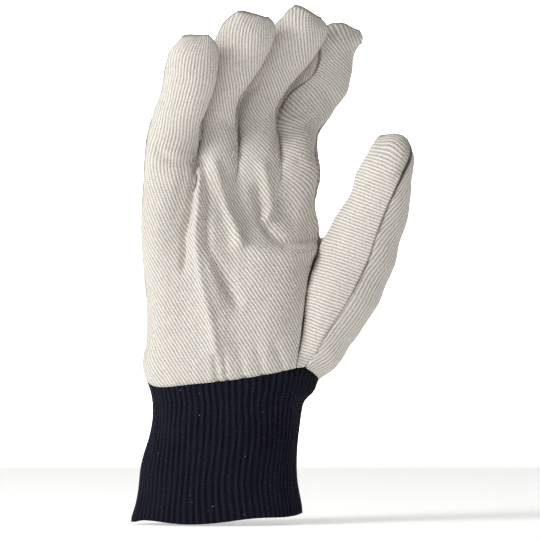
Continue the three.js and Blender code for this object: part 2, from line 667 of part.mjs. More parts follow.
// An oval of the cuff, starting at the little finger's side and running over the palm side.
function cuffOval(down, count) {
  const read = (column) => valueAt(cuffSections, "down", column, down);
  const loop = [];
  const fine = 4 * count;
  for (let k = 0; k < fine; k++) {
    const angle = 180 - (360 * k) / fine;
    const c = Math.cos(angle * degrees);
    const s = Math.sin(angle * degrees);
    const wave = hemWaveShare * Math.cos(hemWaves * angle * degrees) + smooth(c, 0, 1);
    const foot = hemRise * (wave - 0.35) * down;
    loop.push(
      new THREE.Vector3(
        read("shift") * handShift + (read("wide") * cuffWidth * c) / 2,
        (-read("deep") * cuffDepth * s) / 2,
        cuffLength * (1 - down) + foot,
      ),
    );
  }
  return evenly(loop, count);
}

// The cuff's rings, moved in by a distance that depends on the place in a rib.
function cuffRing(down, count, inset) {
  const seam = evenly(seamLoop, count);
  const oval = cuffOval(down, count);
  const leave = smooth(down, 0, cuffBlendDown);
  const ring = seam.map((point, k) => {
    const dropped = point.clone();
    dropped.z -= seamGap + (point.z - seamGap) * down;
    return mixed(dropped, oval[k], leave);
  });
  return ring.map((point, k) => {
    const before = ring[(k + count - 1) % count];
    const after = ring[(k + 1) % count];
    const run = after.clone().sub(before);
    const inwards = new THREE.Vector3(run.y, -run.x, 0).normalize();
    return point.clone().addScaledVector(inwards, -inset(k));
  });
}

function cuffGeometry() {
  const outerCount = 2 * ribCount; // a crest and a valley for each rib
  const innerRows = cuffRows / 2;
  const ribInset = (k) => ribHeight * (k % 2);
  const innerInset = () => ribHeight + knitThickness;
  const outer = [];
  const inner = [];
  for (let r = 0; r <= cuffRows; r++) outer.push(cuffRing(r / cuffRows, outerCount, ribInset));
  for (let r = 0; r <= innerRows; r++) inner.push(cuffRing(r / innerRows, ribCount, innerInset));
  const triangles = [];
  const tube = (rings, count, outward) => {
    for (let r = 0; r + 1 < rings.length; r++) {
      for (let k = 0; k < count; k++) {
        const next = (k + 1) % count;
        const [a, b, c, d] = [rings[r][k], rings[r][next], rings[r + 1][next], rings[r + 1][k]];
        if (outward) triangles.push(a, c, b, a, d, c);
        else triangles.push(a, b, c, a, c, d);
      }
    }
  };
  tube(outer, outerCount, true);
  tube(inner, ribCount, false);
  // The end faces: one inner edge for each rib's two outer ones.
  const end = (outside, inside, top) => {
    for (let k = 0; k < ribCount; k++) {
      const crest = outside[2 * k];
      const valley = outside[2 * k + 1];
      const nextCrest = outside[(2 * k + 2) % outerCount];
      const near = inside[k];
      const far = inside[(k + 1) % ribCount];
      for (const face of [[crest, valley, near], [valley, far, near], [valley, nextCrest, far]]) {
        triangles.push(...(top ? face : face.reverse()));
      }
    }
  };
  end(outer[0], inner[0], true);
  end(outer[cuffRows], inner[innerRows], false);
  return new THREE.BufferGeometry().setFromPoints(triangles);
}

function addPiece(group, name, geometry, material) {
  const mesh = new THREE.Mesh(geometry, material);
  mesh.name = name;
  mesh.geometry.computeVertexNormals();
  group.add(mesh);
}

const cotton = new THREE.MeshStandardMaterial({ color: 0xd2cbc0, roughness: 0.95, metalness: 0 });
const knit = new THREE.MeshStandardMaterial({ color: 0x17182a, roughness: 0.95, metalness: 0 });

const glove = new THREE.Group();
glove.name = "cotton_work_glove";
for (const panel of ["palm_panel", "back_panel", "thumb_front_panel"]) {
  addPiece(glove, panel, panelGeometry(panel), cotton);
}
addPiece(glove, "knit_cuff", cuffGeometry(), knit);

export default glove;
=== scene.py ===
import math

import bmesh
import bpy
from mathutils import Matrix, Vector, kdtree, noise
from mathutils.bvhtree import BVHTree


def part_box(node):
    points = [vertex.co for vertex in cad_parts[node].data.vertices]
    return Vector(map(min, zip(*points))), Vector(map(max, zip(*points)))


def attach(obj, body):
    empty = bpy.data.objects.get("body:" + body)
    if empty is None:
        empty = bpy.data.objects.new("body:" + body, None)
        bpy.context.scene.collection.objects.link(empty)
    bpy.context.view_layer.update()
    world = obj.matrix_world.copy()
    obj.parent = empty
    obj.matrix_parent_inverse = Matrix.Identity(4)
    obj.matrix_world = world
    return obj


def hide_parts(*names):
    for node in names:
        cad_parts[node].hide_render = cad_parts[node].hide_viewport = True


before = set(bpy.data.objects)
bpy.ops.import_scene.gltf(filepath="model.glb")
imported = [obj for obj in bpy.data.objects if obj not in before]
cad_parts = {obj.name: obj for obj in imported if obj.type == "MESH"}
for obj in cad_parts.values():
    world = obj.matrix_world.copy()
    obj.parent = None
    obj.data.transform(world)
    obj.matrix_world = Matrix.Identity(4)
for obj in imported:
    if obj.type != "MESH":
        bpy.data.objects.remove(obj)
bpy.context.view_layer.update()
mm = 0.001


def selectOnly(piece):
    bpy.ops.object.select_all(action="DESELECT")
    piece.select_set(True)
    bpy.context.view_layer.objects.active = piece


def hexColour(code):
    channels = [int(code[i : i + 2], 16) / 255 for i in (1, 3, 5)]
    linear = [c / 12.92 if c <= 0.04045 else ((c + 0.055) / 1.055) ** 2.4 for c in channels]
    return (*linear, 1.0)


def smooth(t, start=0.0, end=1.0):
    t = min(max((t - start) / (end - start), 0.0), 1.0)
    return t * t * (3 - 2 * t)


# Camera and studio
studio = {
    "mmPerPixel": 0.51,
    "framePixels": 540,
    "centre": (27.0, 126.5),
    "distance": 2.4,
    "floorDrop": 3.2,
    "floorColour": "#f7f7f6",
    "keySize": 0.8,
    "keyPower": 30.0,
    "keyPlace": (-1.55, -0.95, 0.95),
    "fillSize": 1.2,
    "fillPower": 0.3,
    "fillPlace": (1.3, -1.3, 0.5),
    "topSize": 1.4,
    "topPower": 4.5,
    "topPlace": (-0.1, -0.5, 1.7),
    "paperSize": 1.6,
    "paperPower": 170.0,
    "paperPlace": (0.0, 1.4, 1.7),
    "paperTarget": (0, 4.2, 0.5),
    "floorRadius": 3.3,
    "floorBend": 1.0,
    "floorGlow": 0.55,
    "airColour": (1, 0.965, 0.91, 1),
    "airStrength": 0.05,
}


def aimed(place, target):
    return (Vector(target) - Vector(place)).to_track_quat("-Z", "Y").to_euler()


def addCamera():
    data = bpy.data.cameras.new("gloveCamera")
    camera = bpy.data.objects.new("gloveCamera", data)
    bpy.context.scene.collection.objects.link(camera)
    x, z = studio["centre"]
    width = studio["framePixels"] * studio["mmPerPixel"] * mm
    data.sensor_width = 36
    data.lens = data.sensor_width * studio["distance"] / width
    data.clip_end = 20
    camera.location = (x * mm, -studio["distance"], z * mm)
    camera.rotation_euler = (math.radians(90), 0, 0)
    bpy.context.scene.camera = camera


def addLight(name, place, size, power, target=(0.02, 0, 0.13)):
    data = bpy.data.lights.new(name, "AREA")
    data.shape = "DISK"
    data.size = size
    data.energy = power
    light = bpy.data.objects.new(name, data)
    bpy.context.scene.collection.objects.link(light)
    light.location = place
    light.rotation_euler = aimed(place, target)


def addFloor():
    # A round floor that sweeps up all round, so no edge shows from any side
    drop = -studio["floorDrop"] * mm
    flat, bend = studio["floorRadius"], studio["floorBend"]
    rows = [(flat * k / 4, drop) for k in range(1, 5)]
    bendSteps = 9
    for k in range(1, bendSteps + 1):
        a = math.radians(90) * k / bendSteps
        rows.append((flat + bend * math.sin(a), drop + bend * (1 - math.cos(a))))
    around = 96
    verts = [(0, 0, drop)]
    for radius, z in rows:
        for k in range(around):
            a = 2 * math.pi * k / around
            verts.append((radius * math.cos(a), radius * math.sin(a), z))
    faces = [(0, 1 + k, 1 + (k + 1) % around) for k in range(around)]
    for row in range(len(rows) - 1):
        low, high = 1 + row * around, 1 + (row + 1) * around
        for k in range(around):
            n = (k + 1) % around
            faces.append((low + k, high + k, high + n, low + n))
    mesh = bpy.data.meshes.new("studioFloor")
    mesh.from_pydata(verts, [], faces)
    floor = bpy.data.objects.new("studioFloor", mesh)
    bpy.context.scene.collection.objects.link(floor)
    mesh.polygons.foreach_set("use_smooth", [True] * len(mesh.polygons))
    material = bpy.data.materials.new("paleStudioPaper")
    material.use_nodes = True
    shader = material.node_tree.nodes["Principled BSDF"]
    shader.inputs["Base Color"].default_value = hexColour(studio["floorColour"])
    shader.inputs["Roughness"].default_value = 0.95
    shader.inputs["Specular IOR Level"].default_value = 0.1
    # The paper of a white studio is lit until it loses its shadows
    shader.inputs["Emission Color"].default_value = hexColour(studio["floorColour"])
    shader.inputs["Emission Strength"].default_value = studio["floorGlow"]
    mesh.materials.append(material)


addCamera()
addLight("keyLight", studio["keyPlace"], studio["keySize"], studio["keyPower"])
addLight("fillLight", studio["fillPlace"], studio["fillSize"], studio["fillPower"])
addLight("topLight", studio["topPlace"], studio["topSize"], studio["topPower"])
addLight(
    "paperLight",
    studio["paperPlace"],
    studio["paperSize"],
    studio["paperPower"],
    studio["paperTarget"],
)
addFloor()
world = bpy.data.worlds.new("studioAir")
world.use_nodes = True
air = world.node_tree.nodes["Background"]
air.inputs["Color"].default_value = studio["airColour"]
air.inputs["Strength"].default_value = studio["airStrength"]
bpy.context.scene.world = world
bpy.context.scene.view_settings.view_transform = "Standard"
print("camera and studio done")


# Materials
def addNode(tree, kind, settings=None, links=None):
    node = tree.nodes.new(kind)
    for key, value in (settings or {}).items():
        if isinstance(key, int) or key in node.inputs.keys():
            node.inputs[key].default_value = value
        else:
            setattr(node, key, value)
    for key, socket in (links or {}).items():
        tree.links.new(socket, node.inputs[key])
    return node


def maths(tree, operation, *values):
    node = addNode(tree, "ShaderNodeMath", {"operation": operation})
    for k, value in enumerate(values):
        if isinstance(value, (int, float)):
            node.inputs[k].default_value = value
        else:
            tree.links.new(value, node.inputs[k])
    return node.outputs[0]


def ramp(tree, value, stops):
    node = addNode(tree, "ShaderNodeValToRGB", links={"Fac": value})
    elements = node.color_ramp.elements
    while len(elements) < len(stops):
        elements.new(0.5)
    for element, (at, colour) in zip(elements, stops):
        element.position = at
        element.color = hexColour(colour)
    return node.outputs["Color"]


def grain(tree, place, scale, detail, roughness=0.5):
    settings = {"Scale": scale, "Detail": detail, "Roughness": roughness}
    return addNode(tree, "ShaderNodeTexNoise", settings, {"Vector": place}).outputs["Fac"]


# Undyed cotton drill, twill woven and washed: diagonal ribs a little over 1.5 mm apart,
# a soft nap that hides the single threads, and no shine
drill = {
    "ribPitch": 1.62,
    "floatPitch": 0.8,
    # valley carries the painted shade between the ribs, crest the ribs' tops
    "valley": "#7d7469",
    "crest": "#e6e2dc",
    "greyTint": "#cfcac2",
    "warmTint": "#f3ecdf",
    # colour of the painted shade in the seams' ditches
    "seam": "#6b6053",
    "bumpDepth": 0.34,
}


def makeDrill():
    material = bpy.data.materials.new("undyedCottonDrill")
    material.use_nodes = True
    tree = material.node_tree
    shader = tree.nodes["Principled BSDF"]
    uv = addNode(tree, "ShaderNodeUVMap", {"uv_map": "weave"}).outputs["UV"]
    place = addNode(tree, "ShaderNodeTexCoord").outputs["Object"]
    across, along, _ = addNode(tree, "ShaderNodeSeparateXYZ", links={0: uv}).outputs
    sway = grain(tree, place, 90.0, 2.0)
    slub = grain(tree, place, 900.0, 3.0, 0.6)
    cloud = grain(tree, place, 24.0, 4.0, 0.6)
    pitch = drill["ribPitch"] * mm
    phase = maths(tree, "MULTIPLY", across, 2 * math.pi / pitch)
    phase = maths(tree, "ADD", phase, maths(tree, "MULTIPLY", sway, 4.0))
    phase = maths(tree, "ADD", phase, maths(tree, "MULTIPLY", slub, 1.8))
    rib = maths(tree, "MULTIPLY_ADD", maths(tree, "SINE", phase), 0.5, 0.5)
    step = maths(tree, "MULTIPLY", along, 2 * math.pi / (drill["floatPitch"] * mm))
    step = maths(tree, "ADD", step, maths(tree, "MULTIPLY", phase, 0.5))
    floats = maths(tree, "MULTIPLY_ADD", maths(tree, "SINE", step), 0.5, 0.5)
    height = maths(tree, "MULTIPLY", rib, 0.62)
    height = maths(tree, "ADD", height, maths(tree, "MULTIPLY", floats, 0.2))
    height = maths(tree, "ADD", height, maths(tree, "MULTIPLY", slub, 0.5))
    # Painted shade: the colour darkens in the valleys between the ribs and floats; the slub adds
    # the yarn's own uneven tone
    shade = maths(tree, "MULTIPLY_ADD", rib, 0.5, 0.02)
    shade = maths(tree, "ADD", shade, maths(tree, "MULTIPLY", floats, 0.16))
    shade = maths(tree, "ADD", shade, maths(tree, "MULTIPLY", slub, 0.5))
    colour = ramp(tree, shade, [(0.1, drill["valley"]), (0.85, drill["crest"])])
    tint = ramp(tree, cloud, [(0.35, drill["greyTint"]), (0.65, drill["warmTint"])])
    blended = addNode(
        tree,
        "ShaderNodeMix",
        {"data_type": "RGBA", "blend_type": "SOFT_LIGHT", 0: 0.25},
        {6: colour, 7: tint},
    ).outputs[2]
    # Painted shade: the colour darkens into the ditch of a seam, which lies in its own shadow
    seam = addNode(tree, "ShaderNodeAttribute", {"attribute_name": "seamShade"}).outputs["Fac"]
    seam = maths(tree, "MULTIPLY", maths(tree, "POWER", seam, 2.2), 0.75)
    paintedSeamShade = addNode(
        tree,
        "ShaderNodeMix",
        {"data_type": "RGBA", 7: hexColour(drill["seam"])},
        {0: seam, 6: blended},
    ).outputs[2]
    tree.links.new(paintedSeamShade, shader.inputs["Base Color"])
    bump = addNode(
        tree,
        "ShaderNodeBump",
        {"Strength": 1.0, "Distance": drill["bumpDepth"] * mm},
        {"Height": height},
    )
    tree.links.new(bump.outputs["Normal"], shader.inputs["Normal"])
    shader.inputs["Roughness"].default_value = 0.92
    shader.inputs["Specular IOR Level"].default_value = 0.2
    shader.inputs["Sheen Weight"].default_value = 0.12
    shader.inputs["Sheen Roughness"].default_value = 0.6
    return material


# Dark navy rib knit of acrylic and cotton yarn: vertical wales, short courses across them,
# fuzzy and quite matte
knit = {
    "courses": 1.25,
    # dark carries the painted shade between the wales
    "dark": "#040409",
    "light": "#1e1f31",
    "lint": "#8d8fa6",
    "lintAbove": 0.79,
    "lintShow": 0.7,
    "sheen": "#6b6f8c",
    "bumpDepth": 0.5,
}


def makeKnit():
    material = bpy.data.materials.new("navyRibKnit")
    material.use_nodes = True
    tree = material.node_tree
    shader = tree.nodes["Principled BSDF"]
    uv = addNode(tree, "ShaderNodeUVMap", {"uv_map": "weave"}).outputs["UV"]
    place = addNode(tree, "ShaderNodeTexCoord").outputs["Object"]
    across, along, _ = addNode(tree, "ShaderNodeSeparateXYZ", links={0: uv}).outputs
    fuzz = grain(tree, place, 1300.0, 3.0, 0.65)
    cloud = grain(tree, place, 60.0, 3.0, 0.6)
    # across counts the wales, so each one is a whole turn
    wale = maths(tree, "COSINE", maths(tree, "MULTIPLY", across, 2 * math.pi))
    half = maths(tree, "SINE", maths(tree, "MULTIPLY", across, math.pi))
    slant = maths(tree, "MULTIPLY", maths(tree, "ABSOLUTE", half), 1.8)
    course = maths(tree, "MULTIPLY", along, 2 * math.pi / (knit["courses"] * mm))
    course = maths(tree, "SINE", maths(tree, "ADD", course, slant))
    height = maths(tree, "MULTIPLY", course, 0.22)
    height = maths(tree, "ADD", height, maths(tree, "MULTIPLY", wale, 0.3))
    height = maths(tree, "ADD", height, maths(tree, "MULTIPLY", fuzz, 0.7))
    # Painted shade: the colour darkens between the wales and along the courses; cloud and fuzz add
    # the yarn's own uneven tone
    shade = maths(tree, "MULTIPLY_ADD", wale, 0.3, 0.15)
    shade = maths(tree, "ADD", shade, maths(tree, "MULTIPLY", course, 0.1))
    shade = maths(tree, "ADD", shade, maths(tree, "MULTIPLY", cloud, 0.25))
    shade = maths(tree, "ADD", shade, maths(tree, "MULTIPLY", fuzz, 0.3))
    colour = ramp(tree, shade, [(0.15, knit["dark"]), (0.85, knit["light"])])
    # A few specks of cotton lint caught in the yarn
    specks = grain(tree, place, 520.0, 1.0)
    specks = maths(tree, "GREATER_THAN", specks, knit["lintAbove"])
    specks = maths(tree, "MULTIPLY", specks, knit["lintShow"])
    linted = addNode(
        tree,
        "ShaderNodeMix",
        {"data_type": "RGBA", 7: hexColour(knit["lint"])},
        {0: specks, 6: colour},
    ).outputs[2]
    tree.links.new(linted, shader.inputs["Base Color"])
    bump = addNode(
        tree,
        "ShaderNodeBump",
        {"Strength": 1.0, "Distance": knit["bumpDepth"] * mm},
        {"Height": height},
    )
    tree.links.new(bump.outputs["Normal"], shader.inputs["Normal"])
    shader.inputs["Roughness"].default_value = 0.95
    shader.inputs["Specular IOR Level"].default_value = 0.15
    shader.inputs["Sheen Weight"].default_value = 0.06
    shader.inputs["Sheen Roughness"].default_value = 0.5
    shader.inputs["Sheen Tint"].default_value = hexColour(knit["sheen"])
    return material


# Spun cotton sewing thread, slightly whiter than the drill
thread = {"shade": "#b8afa0", "light": "#ebe6db", "radius": 0.26}


def makeThread():
    material = bpy.data.materials.new("cottonThread")
    material.use_nodes = True
    tree = material.node_tree
    shader = tree.nodes["Principled BSDF"]
    place = addNode(tree, "ShaderNodeTexCoord").outputs["Object"]
    twist = grain(tree, place, 2500.0, 1.0)
    colour = ramp(tree, twist, [(0.3, thread["shade"]), (0.7, thread["light"])])
    tree.links.new(colour, shader.inputs["Base Color"])
    shader.inputs["Roughness"].default_value = 0.85
    return material


drillMaterial = makeDrill()
knitMaterial = makeKnit()
threadMaterial = makeThread()
print("materials done")


# Cloth panels
panels = {
    "palm_panel": {
        "name": "palmCloth",
        "twill": 128.0,
        "facing": (0, -1, 0),
        "flat": (0.118, 0.215),
        "area": 0.0202,
    },
    "back_panel": {
        "name": "backCloth",
        "twill": 128.0,
        "facing": (0, 1, 0),
        "flat": (0.162, 0.225),
        "area": 0.0281,
    },
    "thumb_front_panel": {
        "name": "thumbCloth",
        "twill": 184.0,
        "facing": None,
        "flat": (0.040, 0.130),
        "area": 0.0033,
    },
}
clothLook = {
    "levels": 2,
    "wall": 2.6,
    "seamClose": 0.22,
    "ditchDeep": 0.45,
    "ditchBroad": 1.1,
    "shadeBroad": 1.5,
    "shadeFrom": 84,
    "puckerReach": 4.0,
    "puckerHigh": 0.45,
    "puckerScale": 330,
    "gatherFrom": 72,
    "gatherReach": 13.0,
    "gatherHigh": 0.7,
    "palmFull": 1.8,
    "backFull": 4.5,
    "fullReach": 17,
    "rumple": 0.55,
    "rumpleScale": 75,
    "fineRumple": 0.22,
    "fineScale": 210,
}
# Folds of the filled palm: points are x and z in mm, broad and high are in mm too.
# They fan out from the finger crotches and from the thumb's, and a few short ones
# stand on the cuff.
palmFolds = [
    {
        "line": [(-11, 183), (-11.7, 171), (-13.8, 157), (-16.3, 145), (-17, 128)],
        "broad": 1.6,
        "high": -2.8,
    },
    {
        "line": [
            (-9.3, 176),
            (-9.2, 160),
            (-10.3, 148),
            (-10, 138),
            (-8, 124),
            (-3, 102),
            (0, 86),
        ],
        "broad": 1.9,
        "high": 2.0,
    },
    {
        "line": [(-7, 180), (-4.4, 163), (-5, 150), (-4, 138), (3, 124), (10, 110)],
        "broad": 2.5,
        "high": -2.2,
    },
    {"line": [(-1, 180), (2.3, 167), (5, 157), (9.2, 148), (12, 140)], "broad": 2.2, "high": 2.0},
    {"line": [(8, 175), (12, 162), (18, 150)], "broad": 3.0, "high": -0.8},
    {
        "line": [(20, 167), (23, 152), (28, 145), (35, 141), (45, 141), (53, 142)],
        "broad": 2.5,
        "high": -3.2,
    },
    {"line": [(23, 179), (27, 165), (28.4, 158), (25, 153)], "broad": 2.3, "high": 2.2},
    {"line": [(11, 141), (24, 135.5), (36, 134), (51, 137)], "broad": 3.2, "high": 1.8},
    {"line": [(33, 160), (40, 152), (52, 150)], "broad": 7.5, "high": -3.0},
    {"line": [(-30, 187), (-22, 181), (-14, 181)], "broad": 1.7, "high": -1.4},
    {"line": [(-1.2, 82), (0.5, 73)], "broad": 1.4, "high": -1.2},
    {"line": [(3.5, 83), (5.5, 74)], "broad": 1.3, "high": -1.0},
    {"line": [(11, 84), (14, 76)], "broad": 1.6, "high": -0.8},
    {"line": [(20, 86), (24, 77)], "broad": 1.7, "high": -0.8},
    {"line": [(29, 88), (34, 79)], "broad": 1.7, "high": -0.7},
    # Pinches at the knuckles of the bent fingers
    {"line": [(20, 220), (14, 215), (9, 213)], "broad": 1.8, "high": -1.1},
    {"line": [(2.5, 203.5), (9.7, 198.4)], "broad": 1.7, "high": -1.0},
    {"line": [(37, 217), (31, 211), (28, 206)], "broad": 1.8, "high": -1.0},
    {"line": [(51.5, 221), (60, 210)], "broad": 2.0, "high": -1.0},
    {"line": [(37, 195), (48.5, 203)], "broad": 1.8, "high": -1.2},
    {"line": [(41, 182), (51, 187)], "broad": 1.9, "high": -1.0},
    {"line": [(-24, 226), (-14, 222)], "broad": 2.0, "high": -0.7},
]


def openCopy(nodeName, newName):
    # A copy of the node's skin with its corners joined and its triangles paired again
    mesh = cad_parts[nodeName].data.copy()
    piece = bpy.data.objects.new(newName, mesh)
    bpy.context.scene.collection.objects.link(piece)
    mesh.materials.clear()
    selectOnly(piece)
    bpy.ops.object.mode_set(mode="EDIT")
    bpy.ops.mesh.select_all(action="SELECT")
    bpy.ops.mesh.remove_doubles(threshold=0.00002)
    bpy.ops.mesh.tris_convert_to_quads(
        face_threshold=math.radians(70), shape_threshold=math.radians(80)
    )
    bpy.ops.mesh.select_all(action="DESELECT")
    bpy.ops.object.mode_set(mode="OBJECT")
    return piece


# Faces that turn more than this against each other don't lie on the same sheet
sharpTurn = math.radians(62)


def outerFaces(shape, wall):
    # A line into the cloth leaves it within the wall's thickness, but along a rim's strip it
    # goes on for longer; what is left falls into an outer and a smaller inner sheet
    tree = BVHTree.FromBMesh(shape)
    strip = set()
    for face in shape.faces:
        start = face.calc_center_median() - face.normal * 0.00001
        far = tree.ray_cast(start, -face.normal, 0.05)[3]
        if far is None or far > wall * mm:
            strip.add(face.index)
    sheets = []
    seen = set(strip)
    for first in shape.faces:
        if first.index in seen:
            continue
        sheet = {first.index}
        queue = [first]
        while queue:
            face = queue.pop()
            for edge in face.edges:
                for other in edge.link_faces:
                    if other.index in strip or face.normal.angle(other.normal, 0) > sharpTurn:
                        continue
                    if other.index not in sheet:
                        sheet.add(other.index)
                        queue.append(other)
        seen |= sheet
        sheets.append(sheet)

    def area(sheet):
        return sum(shape.faces[i].calc_area() for i in sheet)

    sheets.sort(key=area, reverse=True)
    print("  sheets", [(len(s), round(area(s) * 1e6)) for s in sheets[:5]], "strip", len(strip))
    return sheets[0], sheets[0] | sheets[1]


def holdRims(shape, sheetFaces):
    # The strips along the rims grow a little, so that two panels meet in a fine ditch,
    # and their edges are held crisp while the rest is smoothed
    grown = {}
    for face in shape.faces:
        if face.index not in sheetFaces:
            for vert in face.verts:
                grown[vert] = grown.get(vert, Vector()) + face.normal
    for vert, way in grown.items():
        if way.length > 0.1:
            vert.co += way.normalized() * (clothLook["seamClose"] * mm)
    layers = shape.edges.layers.float
    crisp = layers.get("crease_edge") or layers.new("crease_edge")
    for edge in shape.edges:
        inSheet = [face.index in sheetFaces for face in edge.link_faces]
        if len(inSheet) == 2 and inSheet[0] != inSheet[1]:
            edge[crisp] = 1.0


def clothPiece(nodeName):
    look = panels[nodeName]
    piece = openCopy(nodeName, look["name"])
    mesh = piece.data
    shape = bmesh.new()
    shape.from_mesh(mesh)
    shape.faces.ensure_lookup_table()
    shape.normal_update()
    outer, sheetFaces = outerFaces(shape, clothLook["wall"])
    weights = {}
    for face in shape.faces:
        for vert in face.verts:
            if face.index in outer:
                weights[vert.index] = 1.0
            else:
                weights.setdefault(vert.index, 0.0)
    holdRims(shape, sheetFaces)
    rim = set()
    for edge in shape.edges:
        sides = [face.index in outer for face in edge.link_faces]
        if len(sides) == 2 and sides[0] != sides[1]:
            edge.seam = True
            rim |= {vert.index for vert in edge.verts}
    # The rim's strips get their own island
    for edge in shape.edges:
        if len(edge.link_faces) == 2 and not edge.seam:
            a, b = edge.link_faces
            if a.normal.angle(b.normal, 0) > sharpTurn and a.index not in outer:
                edge.seam = True
    shape.to_mesh(mesh)
    shape.free()
    group = piece.vertex_groups.new(name="outside")
    for index, weight in weights.items():
        if weight > 0:
            group.add([index], weight, "REPLACE")
    rimGroup = piece.vertex_groups.new(name="rim")
    rimGroup.add(list(rim), 1.0, "REPLACE")
    layWeave(piece, outer, look["twill"], look["facing"])
    swell = piece.modifiers.new("smoothCloth", "SUBSURF")
    swell.levels = clothLook["levels"]
    swell.render_levels = clothLook["levels"]
    selectOnly(piece)
    bpy.ops.object.modifier_apply(modifier="smoothCloth")
    return piece


# The height of the knuckles, and where the fingers and the thumb part, in mm
knuckleHeight = 184
fingersFrom = 180
thumbFrom = 74
# The middle lines of the fingers in mm, from the knuckle to the tip
fingerLines = {
    "little": [
        (-22.7, -5.7, 187), (-20.4, -12.3, 202.6), (-13.5, -22.9, 223),
        (-11.5, -28.8, 233), (-8, -35, 243),
    ],
    "ring": [
        (0.4, -1.2, 187.7), (0.1, -2, 202.3), (7.3, -12, 229.3),
        (15, -19.7, 243.9), (22, -27, 256),
    ],
    "middle": [
        (21.5, 2.9, 188.4), (19.3, 6, 203.6), (30.5, 0.6, 232.1),
        (40.2, -5.7, 244.6), (50, -12, 258),
    ],
    "index": [
        (40.8, 6.6, 187.7), (41.2, 12.5, 198.1), (53, 16.2, 222.5),
        (59.3, 13.3, 236.5), (66, 9, 248),
    ],
}
fingerRound = {"little": 8.5, "ring": 9.0, "middle": 9.0, "index": 9.0}
# How far the ribs of each finger turn against those at its knuckle, in degrees
fingerTurn = {"little": 14.0, "ring": 0.0, "middle": 4.0, "index": -16.0}
# How much deeper in the finger the line lies from which its weave is laid, in mm,
# and how much of its length counts as the knuckle
weaveDepth = 8
knuckleLength = 16


def alongFinger(point, name):
    # How far off the finger's middle line a point in mm is, how far along, and which way
    best = None
    gone = 0.0
    line = [Vector(p) for p in fingerLines[name]]
    for k, (a, b) in enumerate(zip(line, line[1:])):
        run = b - a
        t = (point - a).dot(run) / run.length_squared
        t = min(t, 1.0) if k == 0 else min(max(t, 0.0), 1.0)
        if k == len(line) - 2:
            t = max((point - a).dot(run) / run.length_squared, 0.0)
        off = point - a - run * t
        if best is None or off.length < best[0]:
            best = (off.length, gone + t * run.length, off, run.normalized())
        gone += run.length
    return best


def nearestFinger(point):
    found = {name: alongFinger(point, name) for name in fingerLines}
    name = min(found, key=lambda key: found[key][0])
    return name, found[name]


def straightenFingers(mesh, uvs, polys, facing):
    # The weave runs up each finger along its own middle line, as in a flat cut glove
    rolled = {}
    for poly in polys:
        if poly.center.z / mm < knuckleHeight:
            continue
        name, _ = nearestFinger(poly.center / mm)
        for i, v in zip(poly.loop_indices, poly.vertices):
            _, along, off, ahead = alongFinger(mesh.vertices[v].co / mm, name)
            front = (facing - ahead * facing.dot(ahead)).normalized()
            right = ahead.cross(front)
            # Seen from a line set deeper in the finger, so the weave doesn't gather at the tip
            turn = math.atan2(off.dot(right), off.dot(front) + weaveDepth)
            flat = Vector(((fingerRound[name] + weaveDepth) * turn, along)) * mm
            rolled.setdefault(name, []).append((i, flat, along))
    for name, corners in rolled.items():
        knuckle = [(uvs[i].uv.copy(), flat) for i, flat, along in corners if along < knuckleLength]
        there = sum((uv for uv, _ in knuckle), Vector((0, 0))) / len(knuckle)
        here = sum((flat for _, flat in knuckle), Vector((0, 0))) / len(knuckle)
        dots = sum((flat - here).dot(uv - there) for uv, flat in knuckle)
        crosses = sum(
            (flat - here).x * (uv - there).y - (flat - here).y * (uv - there).x
            for uv, flat in knuckle
        )
        angle = math.atan2(crosses, dots) - math.radians(fingerTurn[name])
        print("  weave of the", name, "finger turned", round(math.degrees(angle), 1))
        c, s = math.cos(angle), math.sin(angle)
        for i, flat, along in corners:
            x, y = flat - here
            laid = there + Vector((c * x - s * y, s * x + c * y))
            uvs[i].uv = uvs[i].uv.lerp(laid, smooth(along, 1, 22))


def layWeave(piece, outer, twill, facing):
    # The cloth unrolled to its flat cut, in metres, turned so that u runs across the ribs
    selectOnly(piece)
    mesh = piece.data
    while mesh.uv_layers:
        mesh.uv_layers.remove(mesh.uv_layers[0])
    mesh.uv_layers.new(name="weave")
    bpy.ops.object.mode_set(mode="EDIT")
    bpy.ops.mesh.select_all(action="SELECT")
    bpy.ops.uv.unwrap(method="MINIMUM_STRETCH", margin=0.001)
    bpy.ops.object.mode_set(mode="OBJECT")
    uvs = mesh.uv_layers["weave"].data
    islands = {"outer": [], "inner": []}
    for poly in mesh.polygons:
        islands["outer" if poly.index in outer else "inner"].append(poly)
    for polys in islands.values():
        flat = 0.0
        real = 0.0
        slope = [0.0, 0.0]
        for poly in polys:
            corners = [uvs[i].uv.copy() for i in poly.loop_indices]
            points = [mesh.vertices[v].co for v in poly.vertices]
            signed = 0.5 * sum(
                a.x * b.y - b.x * a.y for a, b in zip(corners, corners[1:] + corners[:1])
            )
            flat += abs(signed)
            real += poly.area
            middle = sum(corners, Vector((0, 0))) / len(corners)
            height = sum(p.z for p in points) / len(points)
            for corner, point in zip(corners, points):
                slope[0] += (corner.x - middle.x) * (point.z - height)
                slope[1] += (corner.y - middle.y) * (point.z - height)
        scale = math.sqrt(real / max(flat, 1e-12))
        turnCorners(uvs, polys, math.radians(90) - math.atan2(slope[1], slope[0]), scale)
    if facing:
        straightenFingers(mesh, uvs, islands["outer"], Vector(facing))
    # The ribs stand at the twill angle from the cloth's side, so u is turned square to them
    turnCorners(uvs, mesh.polygons, math.radians(90 - twill), 1.0)


def turnCorners(uvs, polys, turn, scale):
    c, s = math.cos(turn), math.sin(turn)
    for poly in polys:
        for i in poly.loop_indices:
            u, v = uvs[i].uv
            uvs[i].uv = (scale * (c * u - s * v), scale * (s * u + c * v))


